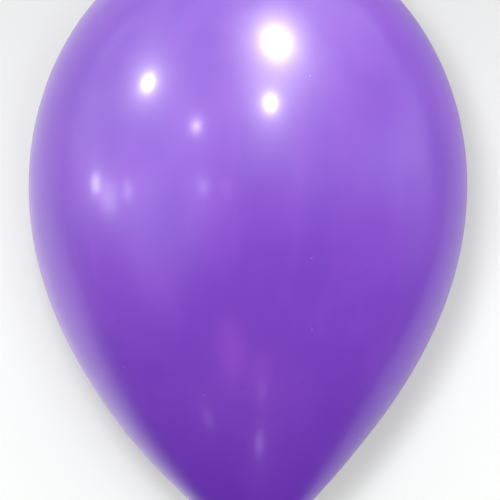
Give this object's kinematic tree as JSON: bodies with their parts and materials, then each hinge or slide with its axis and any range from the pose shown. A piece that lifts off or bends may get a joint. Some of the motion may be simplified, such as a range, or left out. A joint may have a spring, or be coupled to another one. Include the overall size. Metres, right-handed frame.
{
  "type": "latex balloon",
  "caption": "Inflated round latex balloon, closed by a knot in its own neck, with the free tail and rolled rim below the knot.",
  "frame": {"origin": "centre of the gathered neck where it is tied off, just above the knot", "axes": "+Z along the balloon's axis from the knot to the top of the skin; +X to the right and +Y away from the viewer"},
  "size_m": [0.3, 0.3, 0.4767],
  "materials": {
    "film": "gloss",
    "thick_film": "gloss",
    "gathered_film": "gloss",
    "relaxed_film": "gloss"
  },
  "bodies": {
    "skin": {"envelope": "film", "crown_tip": "thick_film", "throat_gather": "gathered_film"},
    "neck": {"neck_stem": "gathered_film"},
    "knot": {"knot_core": "gathered_film", "knot_wrap": "gathered_film"},
    "tail": {"tail_cuff": "relaxed_film", "rolled_rim": "relaxed_film"}
  },
  "joints": [
    {"name": "neck_sway", "type": "hinge", "parent": "skin", "child": "neck", "pos_m": [0, 0, 0], "axis": [0, 1, 0], "range_deg": [-50, 50], "stiffness_Nm_per_rad": 0.002},
    {"name": "neck_nod", "type": "hinge", "parent": "neck", "child": "knot", "pos_m": [0, 0, -0.007], "axis": [1, 0, 0], "range_deg": [-50, 50], "stiffness_Nm_per_rad": 0.002},
    {"name": "tail_flap", "type": "hinge", "parent": "knot", "child": "tail", "pos_m": [0, 0, -0.019], "axis": [1, 0, 0], "range_deg": [-60, 60], "stiffness_Nm_per_rad": 0.001}
  ]
}
